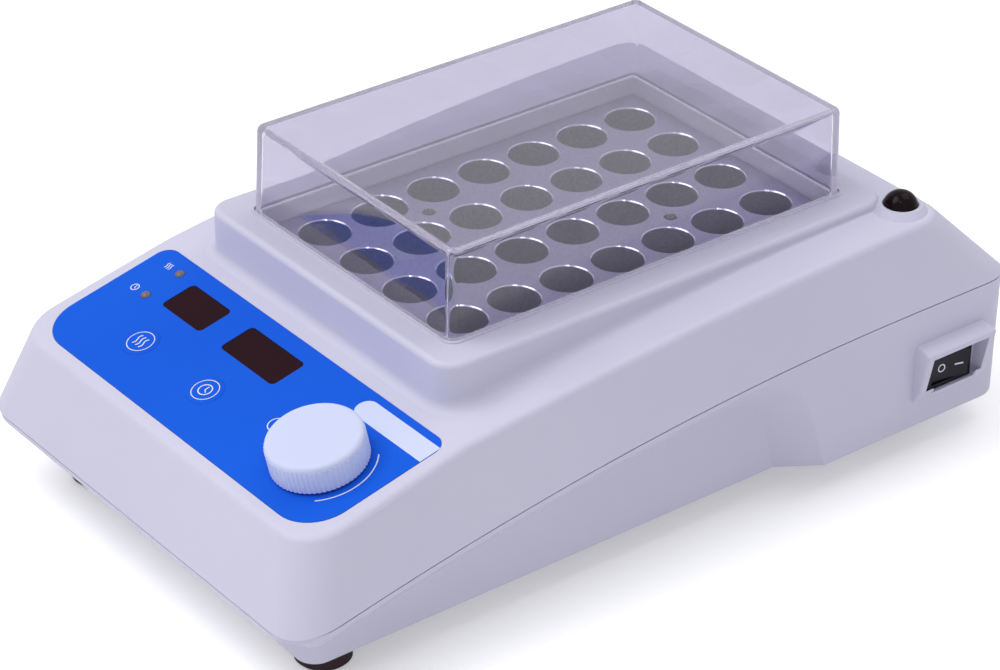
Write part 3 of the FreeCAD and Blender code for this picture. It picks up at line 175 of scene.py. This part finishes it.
def blasted_metal(name, colour, shade, rough, grain, depth):
    mat, tree, shader = new_material(name)
    fine = noise(tree, grain, 3.0, 0.7)
    tone = ramp(tree, fine.outputs["Fac"], shade, colour, 0.3, 0.7)
    tree.links.new(tone.outputs["Color"], shader.inputs["Base Color"])
    gloss = spread(tree, fine.outputs["Fac"], rough - 0.08, rough + 0.08)
    tree.links.new(gloss.outputs["Result"], shader.inputs["Roughness"])
    bump(tree, fine.outputs["Fac"], shader, depth)
    shader.inputs["Metallic"].default_value = 1.0
    return mat


def clear_plastic(name, colour, clear, glow):
    # Moulded clear plastic with a faint milky tone. Where a ray has met its surface three times or
    # more, the surface gives off an even emission colour instead: a painted glow standing in for
    # light piped along its edges.
    mat, tree, shader = new_material(name)
    soft = noise(tree, 40.0, 2.0)
    gloss = spread(tree, soft.outputs["Fac"], 0.01, 0.025)
    tree.links.new(gloss.outputs["Result"], shader.inputs["Roughness"])
    bump(tree, soft.outputs["Fac"], shader, 0.00002, 0.3)
    shader.inputs["Base Color"].default_value = colour
    shader.inputs["Transmission Weight"].default_value = clear
    shader.inputs["IOR"].default_value = 1.52
    path = tree.nodes.new("ShaderNodeLightPath")
    glow_after_bounces = tree.nodes.new("ShaderNodeMath")
    glow_after_bounces.operation = "GREATER_THAN"
    glow_after_bounces.inputs[1].default_value = PAINTED_GLOW_AFTER
    tree.links.new(path.outputs["Glossy Depth"], glow_after_bounces.inputs[0])
    painted_edge_glow = tree.nodes.new("ShaderNodeEmission")
    painted_edge_glow.inputs["Color"].default_value = glow
    mix = tree.nodes.new("ShaderNodeMixShader")
    tree.links.new(glow_after_bounces.outputs["Value"], mix.inputs[0])
    tree.links.new(shader.outputs[0], mix.inputs[1])
    tree.links.new(painted_edge_glow.outputs[0], mix.inputs[2])
    tree.links.new(mix.outputs[0], tree.nodes["Material Output"].inputs["Surface"])
    return mat


HOUSING = textured_plastic(
    "housing", srgb(215, 213, 231), srgb(210, 208, 227), 0.5, 1500.0, 0.00003)
# Collar plastic painted lighter than the housing: painted light standing in for the light that
# comes through the lid
COLLAR_PAINTED_LIGHT = textured_plastic(
    "collar", srgb(234, 231, 243), srgb(229, 226, 239), 0.42, 1500.0, 0.00002)
OVERLAY = textured_plastic(
    "overlay", srgb(24, 98, 226), srgb(21, 93, 221), 0.5, 2600.0, 0.000008, 0.06)
KNOB = textured_plastic(
    "knob", srgb(214, 222, 249), srgb(208, 217, 246), 0.5, 1800.0, 0.00002)
INK = textured_plastic(
    "white_ink", srgb(236, 238, 248), srgb(228, 231, 244), 0.5, 2600.0, 0.000004)
STRIP = textured_plastic(
    "light_strip", srgb(218, 225, 249), srgb(212, 220, 246), 0.4, 2600.0, 0.000005)
BLACK = textured_plastic(
    "switch_black", srgb(28, 22, 34), srgb(22, 17, 28), 0.42, 1500.0, 0.00002, 0.28)
RUBBER = textured_plastic(
    "rubber", srgb(58, 34, 40), srgb(48, 28, 34), 0.62, 900.0, 0.00004)
DISPLAY = textured_plastic(
    "display", srgb(44, 17, 26), srgb(38, 14, 23), 0.22, 2600.0, 0.000002, 0.05)
SMOKE = textured_plastic(
    "led_smoke", srgb(118, 104, 108), srgb(104, 92, 98), 0.3, 2200.0, 0.000005, 0.5)
LENS = textured_plastic(
    "lamp_lens", srgb(24, 8, 15), srgb(17, 5, 12), 0.1, 300.0, 0.000002, 0.1)
BOARD = textured_plastic(
    "board", srgb(22, 92, 52), srgb(18, 82, 46), 0.35, 900.0, 0.00001)
FIBRE = textured_plastic(
    "insulation", srgb(226, 222, 208), srgb(206, 200, 184), 0.9, 500.0, 0.0003)
FILM = textured_plastic(
    "heater_film", srgb(190, 120, 40), srgb(176, 106, 32), 0.35, 700.0, 0.00001)
BLOCK = blasted_metal(
    "blasted_aluminium", srgb(203, 200, 221), srgb(164, 161, 186), 0.42, 1300.0, 0.00004)
PAN = blasted_metal(
    "pan_aluminium", srgb(205, 205, 210), srgb(190, 190, 196), 0.35, 700.0, 0.00002)
STEEL = blasted_metal(
    "steel", srgb(200, 200, 204), srgb(178, 178, 184), 0.3, 900.0, 0.00001)
RIM = blasted_metal(
    "machined_rim", srgb(244, 243, 250), srgb(234, 233, 242), 0.14, 1600.0, 0.000004)
# Thread metal darker than the block: painted shade inside the lifting holes
THREAD_PAINTED_DARK = blasted_metal(
    "thread_painted_dark", srgb(120, 116, 130), srgb(96, 92, 106), 0.4, 900.0, 0.00001)
# Clear lid; its last colour is the painted glow of its edges, painted light with no lamp behind it
CLEAR = clear_plastic("clear_lid", (0.745, 0.725, 0.83, 1.0), 0.945, srgb(190, 186, 206))

FINISH = {
    "top_cover": HOUSING, "base_shell": HOUSING, "block_collar": COLLAR_PAINTED_LIGHT,
    "heating_pan": PAN, "heater_film": FILM, "clamp_plate": PAN,
    "insulation_jacket": FIBRE, "pan_legs": STEEL, "temperature_sensor": STEEL,
    "thermal_cutout": BLACK, "tube_block": BLOCK, "clear_lid": CLEAR,
    "panel_overlay": OVERLAY, "small_display_window": DISPLAY,
    "large_display_window": DISPLAY, "small_display_module": BLACK,
    "large_display_module": BLACK, "control_board": BOARD, "heat_led": SMOKE,
    "timer_led": SMOKE, "heat_key": OVERLAY, "timer_key": OVERLAY,
    "key_switches": BLACK, "encoder_body": STEEL, "encoder_plunger": BLACK,
    "encoder_shaft": STEEL, "control_knob": KNOB, "lamp_lens": LENS,
    "lamp_led": SMOKE, "switch_body": BLACK, "switch_rocker": BLACK,
    "power_inlet": BLACK, "fuse_drawer": BLACK, "power_board": BOARD,
    "power_transformer": BLACK, "heater_relay": BLACK, "capacitors": BLACK,
    "rubber_feet": RUBBER, "foot_screws": STEEL, "cover_screws": STEEL,
    "board_screws": STEEL,
}

for name, node in nodes.items():
    node.data.materials.clear()
    node.data.materials.append(FINISH[name])


def panel_point(x, s, h):
    # X across the panel, s up its slope, h out of it, all in millimetres
    c, d = math.cos(PANEL_SLOPE), math.sin(PANEL_SLOPE)
    return PANEL_EDGE + Vector((x, s * c - h * d, s * d + h * c)) * MM


def wall_point(x, y, z):
    return Vector((x, y, z)) * MM


def mesh_piece(name, bm, material, body, smooth=False):
    bmesh.ops.recalc_face_normals(bm, faces=bm.faces[:])
    mesh = bpy.data.meshes.new(name)
    bm.to_mesh(mesh)
    bm.free()
    for face in mesh.polygons:
        face.use_smooth = smooth
    mesh.materials.append(material)
    piece = bpy.data.objects.new(name, mesh)
    bpy.context.scene.collection.objects.link(piece)
    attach(piece, body)
    return piece


def add_prism(bm, outline, place, low, high):
    # Closed prism over a flat outline of (a, b) points, set in space by place(a, b, height)
    bottom = [bm.verts.new(place(a, b, low)) for a, b in outline]
    top = [bm.verts.new(place(a, b, high)) for a, b in outline]
    bm.faces.new(top)
    bm.faces.new(bottom[::-1])
    n = len(outline)
    for i in range(n):
        j = (i + 1) % n
        bm.faces.new((bottom[i], bottom[j], top[j], top[i]))


def add_stroke(bm, points, width, place, low, high, closed=False):
    # A line of even width along points
    n = len(points)
    left, right = [], []
    for i in range(n):
        before = points[i - 1] if (closed or i > 0) else points[i]
        after = points[(i + 1) % n] if (closed or i < n - 1) else points[i]
        along = Vector((after[0] - before[0], after[1] - before[1])).normalized()
        side = Vector((-along.y, along.x)) * (width / 2.0)
        left.append((points[i][0] + side.x, points[i][1] + side.y))
        right.append((points[i][0] - side.x, points[i][1] - side.y))
    rows = []
    for a, b in zip(left, right):
        rows.append([
            bm.verts.new(place(a[0], a[1], low)), bm.verts.new(place(b[0], b[1], low)),
            bm.verts.new(place(b[0], b[1], high)), bm.verts.new(place(a[0], a[1], high)),
        ])
    last = n if closed else n - 1
    for i in range(last):
        a, b = rows[i], rows[(i + 1) % n]
        for k in range(4):
            m = (k + 1) % 4
            bm.faces.new((a[k], a[m], b[m], b[k]))
    if not closed:
        bm.faces.new(rows[0][::-1])
        bm.faces.new(rows[-1])


def arc_points(x, y, r, start, end, count):
    step = (end - start) / (count - 1)
    turn = [math.radians(start + i * step) for i in range(count)]
    return [(x + r * math.cos(t), y + r * math.sin(t)) for t in turn]


def ring_points(x, y, r, count=72):
    return arc_points(x, y, r, 0.0, 360.0 * (count - 1) / count, count)


def print_strokes(name, strokes, width, material=INK, low=OVERLAY_TOP, body="bench"):
    bm = bmesh.new()
    for points, closed in strokes:
        add_stroke(bm, points, width, panel_point, low, low + PRINT_T, closed)
    return mesh_piece(name, bm, material, body)


def wave(x, y, height, swing, count=9):
    points = []
    for i in range(count):
        t = i / (count - 1)
        points.append((x + swing * math.sin(t * 2.0 * math.pi), y + height * (t - 0.5)))
    return points


def heat_sign(x, y, size):
    return [(wave(x + k * size * 0.38, y, size, size * 0.1), False) for k in (-1, 0, 1)]


def timer_sign(x, y, size):
    r = size * 0.5
    return [
        (ring_points(x, y, r, 32), True),
        ([(x, y + r * 0.7), (x, y), (x + r * 0.5, y - r * 0.35)], False),
    ]


def key_dome(name, x, s):
    # Film pressed up over a key cap, so the panel stays closed round it
    rings = [(6.3, OVERLAY_TOP), (5.6, OVERLAY_TOP + 0.03), (5.0, 0.42), (4.4, 0.5), (2.2, 0.53)]
    count = 64
    bm = bmesh.new()
    upper = []
    for r, h in rings:
        ring = ring_points(x, s, r, count)
        upper.append([bm.verts.new(panel_point(a, b, h)) for a, b in ring])
    crown = bm.verts.new(panel_point(x, s, KEY_CROWN))
    lower = []
    for r, h in rings:
        ring = ring_points(x, s, r, count)
        lower.append([bm.verts.new(panel_point(a, b, h - FILM_T)) for a, b in ring])
    below = bm.verts.new(panel_point(x, s, KEY_CROWN - FILM_T))
    for layer, tip in ((upper, crown), (lower, below)):
        for a, b in zip(layer, layer[1:]):
            for i in range(count):
                j = (i + 1) % count
                bm.faces.new((a[i], a[j], b[j], b[i]))
        for i in range(count):
            bm.faces.new((layer[-1][i], layer[-1][(i + 1) % count], tip))
    for i in range(count):
        j = (i + 1) % count
        bm.faces.new((lower[0][i], lower[0][j], upper[0][j], upper[0][i]))
    return mesh_piece(name, bm, OVERLAY, "bench", smooth=True)


# Keys under the film, their printed rings and signs
key_dome("heat_key_film", HEAT_KEY_X, KEY_S)
key_dome("timer_key_film", TIMER_KEY_X, KEY_S)
RING_W = 0.3
for name, x in (("heat_key_ring", HEAT_KEY_X), ("timer_key_ring", TIMER_KEY_X)):
    print_strokes(name, [(ring_points(x, KEY_S, KEY_R), True)], RING_W, low=0.49)
print_strokes("heat_key_sign", heat_sign(HEAT_KEY_X, KEY_S, 4.4), 0.42, low=0.52)
print_strokes("timer_key_sign", timer_sign(TIMER_KEY_X, KEY_S, 4.6), 0.4, low=0.52)

# Small signs beside the indicator lamps
LED_X = -59.0
print_strokes("heat_lamp_sign", heat_sign(LED_X - 6.2, 50.6, 2.6), 0.32)
print_strokes("timer_lamp_sign", timer_sign(LED_X - 6.2, 37.1, 2.8), 0.32)

# Turning sign and the arc round the knob
TURN_X, TURN_S, TURN_R = 26.5, 27.7, 2.9
turn = arc_points(TURN_X, TURN_S, TURN_R, 60.0, 350.0, 30)
tip_x, tip_s = turn[0]
arrow = [(tip_x - 0.2, tip_s + 1.3), (tip_x + 0.1, tip_s), (tip_x - 1.4, tip_s - 0.5)]
print_strokes("turn_sign", [(turn, False), (arrow, False)], 0.36)
print_strokes(
    "knob_arc", [(arc_points(KNOB_X, KNOB_S, 17.6, -42.0, 50.0, 48), False)], 0.4)

# Bare light strip at the panel's right edge
strip_outline = arc_points(42.4, 50.2, 3.9, 90.0, 270.0, 24) + [(74.0, 46.3), (74.0, 54.1)]
bm = bmesh.new()
add_prism(bm, strip_outline, panel_point, OVERLAY_TOP, OVERLAY_TOP + PRINT_T)
mesh_piece("light_strip", bm, STRIP, "bench")


def rocker_point(a, b, h):
    # Along the rocker's hollow face, up it and out of it
    out = ROCKER_FACE + ROCKER_HOLLOW_R - math.sqrt(ROCKER_HOLLOW_R ** 2 - a ** 2) + h
    c, d = math.cos(ROCKER_TILT), math.sin(ROCKER_TILT)
    return Vector((ROCKER_X + out * c + a * d, ROCKER_Y + a * c - out * d, ROCKER_Z + b)) * MM


def rocker_mark(name, points, width, closed):
    bm = bmesh.new()
    add_stroke(bm, points, width, rocker_point, MARK_LOW, MARK_HIGH, closed)
    mesh_piece(name, bm, INK, "rocker")


def add_lathe(bm, x, y, outline, count):
    # Closed ring turned about a vertical line; outline holds (radius, height) points in millimetres
    rows = []
    for r, z in outline:
        rows.append([bm.verts.new(wall_point(a, b, z)) for a, b in ring_points(x, y, r, count)])
    for a, b in zip(rows, rows[1:] + rows[:1]):
        for i in range(count):
            j = (i + 1) % count
            bm.faces.new((a[i], a[j], b[j], b[i]))


def lathe(name, x, y, outline, material, body, count=48):
    bm = bmesh.new()
    add_lathe(bm, x, y, outline, count)
    mesh_piece(name, bm, material, body)


# Signs on the rocker
rocker_mark("rocker_off_sign", ring_points(-2.86, 0.0, 1.3, 40), 0.42, True)
rocker_mark("rocker_on_sign", [(2.4, 0.0), (4.0, 0.0), (5.6, 0.0)], 0.55, False)

# Plated skin and tapered tip on each pin of the power inlet
bm = bmesh.new()
for x, z in PINS:
    rows = []
    for y, half_x, half_z in PIN_RINGS:
        ring = [(x + i * half_x, z + k * half_z) for i, k in CORNERS]
        rows.append([bm.verts.new(wall_point(a, y, b)) for a, b in ring])
    for a, b in zip(rows, rows[1:]):
        for i in range(4):
            j = (i + 1) % 4
            bm.faces.new((a[i], a[j], b[j], b[i]))
    bm.faces.new(rows[0][::-1])
    bm.faces.new(rows[-1])
mesh_piece("inlet_pin_plating", bm, STEEL, "bench")

# Bright machined chamfer at the mouth of each well
bm = bmesh.new()
rim = [
    (WELL_R - RIM_SKIN, BLOCK_TOP - WELL_CHAMFER - RIM_SPREAD),
    (WELL_R - RIM_SKIN, BLOCK_TOP - WELL_CHAMFER),
    (WELL_R + WELL_CHAMFER - RIM_SKIN, BLOCK_TOP - RIM_BELOW),
    (WELL_R + WELL_CHAMFER + RIM_SPREAD, BLOCK_TOP - RIM_BELOW),
    (WELL_R + RIM_ROOT_OUT, BLOCK_TOP - RIM_ROOT_LOW),
]
for col in range(WELL_COLS):
    for row in range(WELL_ROWS):
        x = (col - (WELL_COLS - 1) / 2.0) * WELL_PITCH_X
        y = WELL_MIDDLE_Y + (row - (WELL_ROWS - 1) / 2.0) * WELL_PITCH_Y
        add_lathe(bm, x, y, rim, 72)
mesh_piece("well_rims", bm, RIM, "block")

# Bright countersink and thread in each lifting hole; the thread metal is painted dark, painted
# shade inside the hole
thread_z = BLOCK_TOP - LIFT_MOUTH_H - THREAD_GAP
for number, (x, y) in enumerate(LIFT_HOLES):
    mouth = [
        (LIFT_WALL_R, BLOCK_TOP - RIM_SKIN), (LIFT_WALL_R, BLOCK_TOP - LIFT_MOUTH_H),
        (LIFT_ROOT_R, BLOCK_TOP - LIFT_MOUTH_H), (LIFT_MOUTH_R, BLOCK_TOP - RIM_SPREAD),
    ]
    lathe(f"lift_hole_mouth_{number}", x, y, mouth, STEEL, "block")
    thread = [(LIFT_WALL_R, thread_z), (LIFT_WALL_R, BLOCK_TOP - THREAD_LOW)]
    for k in reversed(range(THREAD_TURNS)):
        z = thread_z - THREAD_PITCH * k
        thread += [(LIFT_ROOT_R, z - THREAD_PITCH / 2.0), (LIFT_CREST_R, z)]
    lathe(f"lift_hole_thread_{number}", x, y, thread, THREAD_PAINTED_DARK, "block")


def orbit(target, distance, azimuth, elevation):
    a, e = math.radians(azimuth), math.radians(elevation)
    back = Vector((math.sin(a) * math.cos(e), -math.cos(a) * math.cos(e), math.sin(e)))
    return target + back * distance, back


def make_camera():
    spot, back = orbit(CAMERA_TARGET, CAMERA_DISTANCE, CAMERA_AZIMUTH, CAMERA_ELEVATION)
    a = math.radians(CAMERA_AZIMUTH)
    right = Vector((math.cos(a), math.sin(a), 0.0))
    up = back.cross(right)
    r = math.radians(CAMERA_ROLL)
    right, up = right * math.cos(r) + up * math.sin(r), up * math.cos(r) - right * math.sin(r)
    data = bpy.data.cameras.new("camera")
    data.lens = CAMERA_LENS
    data.sensor_width = 36.0
    data.clip_start = 0.05
    data.clip_end = 20.0
    camera = bpy.data.objects.new("camera", data)
    camera.matrix_world = Matrix((
        (right.x, up.x, back.x, spot.x),
        (right.y, up.y, back.y, spot.y),
        (right.z, up.z, back.z, spot.z),
        (0.0, 0.0, 0.0, 1.0),
    ))
    bpy.context.scene.collection.objects.link(camera)
    bpy.context.scene.camera = camera


def area_light(name, target, distance, azimuth, elevation, size, power):
    spot, back = orbit(target, distance, azimuth, elevation)
    data = bpy.data.lights.new(name, "AREA")
    data.shape = "SQUARE"
    data.size = size
    data.energy = power
    light = bpy.data.objects.new(name, data)
    light.location = spot
    light.rotation_mode = "QUATERNION"
    light.rotation_quaternion = back.to_track_quat("Z", "Y")
    bpy.context.scene.collection.objects.link(light)


def larger(tree, first, second):
    node = tree.nodes.new("ShaderNodeMath")
    node.operation = "MAXIMUM"
    tree.links.new(first, node.inputs[0])
    tree.links.new(second, node.inputs[1])
    return node.outputs["Value"]


def white_to_camera(tree, shader_output, target):
    # What the camera sees directly, in a mirror or through glass is plain white
    path = tree.nodes.new("ShaderNodeLightPath")
    seen = larger(tree, path.outputs["Is Camera Ray"], path.outputs["Is Transmission Ray"])
    seen = larger(tree, seen, path.outputs["Is Glossy Ray"])
    mix = tree.nodes.new("ShaderNodeMixShader")
    white = tree.nodes.new("ShaderNodeBackground")
    white.inputs["Strength"].default_value = 1.0
    tree.links.new(seen, mix.inputs[0])
    tree.links.new(shader_output, mix.inputs[1])
    tree.links.new(white.outputs[0], mix.inputs[2])
    tree.links.new(mix.outputs[0], target)


def lift_to_white(tree, shader):
    # The floor is lifted to plain white for the camera and through the lid; its shadow stays
    path = tree.nodes.new("ShaderNodeLightPath")
    seen = larger(tree, path.outputs["Is Camera Ray"], path.outputs["Is Transmission Ray"])
    level = tree.nodes.new("ShaderNodeMath")
    level.operation = "MULTIPLY"
    level.inputs[1].default_value = FLOOR_LIFT
    tree.links.new(seen, level.inputs[0])
    shader.inputs["Emission Color"].default_value = (1.0, 1.0, 1.0, 1.0)
    tree.links.new(level.outputs["Value"], shader.inputs["Emission Strength"])


def make_world():
    world = bpy.data.worlds.new("studio")
    bpy.context.scene.world = world
    world.use_nodes = True
    tree = world.node_tree
    ground = tree.nodes["Background"]
    ground.inputs["Color"].default_value = (0.93, 0.93, 1.0, 1.0)
    ground.inputs["Strength"].default_value = 0.5
    white_to_camera(tree, ground.outputs[0], tree.nodes["World Output"].inputs["Surface"])


def make_floor():
    bm = bmesh.new()
    corners = [(x * FLOOR_HALF, y * FLOOR_HALF) for x, y in CORNERS]
    bm.faces.new([bm.verts.new((x, y, FLOOR_Z)) for x, y in corners])
    mesh = bpy.data.meshes.new("floor")
    bm.to_mesh(mesh)
    bm.free()
    mat, tree, shader = new_material("floor")
    shader.inputs["Base Color"].default_value = (0.93, 0.93, 0.93, 1.0)
    shader.inputs["Roughness"].default_value = 0.7
    lift_to_white(tree, shader)
    mesh.materials.append(mat)
    floor = bpy.data.objects.new("floor", mesh)
    bpy.context.scene.collection.objects.link(floor)


make_camera()
make_world()
make_floor()
CENTRE = Vector((0.0, 0.0, 0.05))
area_light("key_light", CENTRE, 2.4, -30.0, 57.0, 1.6, 26.5)
area_light("side_light", CENTRE, 2.2, 80.0, 35.0, 1.4, 0.7)
area_light("rim_light", CENTRE, 2.2, 48.0, 60.0, 0.35, 1.6)
area_light("rear_light", CENTRE, 2.0, 170.0, 62.0, 1.3, 7.0)

bpy.context.scene.view_settings.view_transform = "Standard"
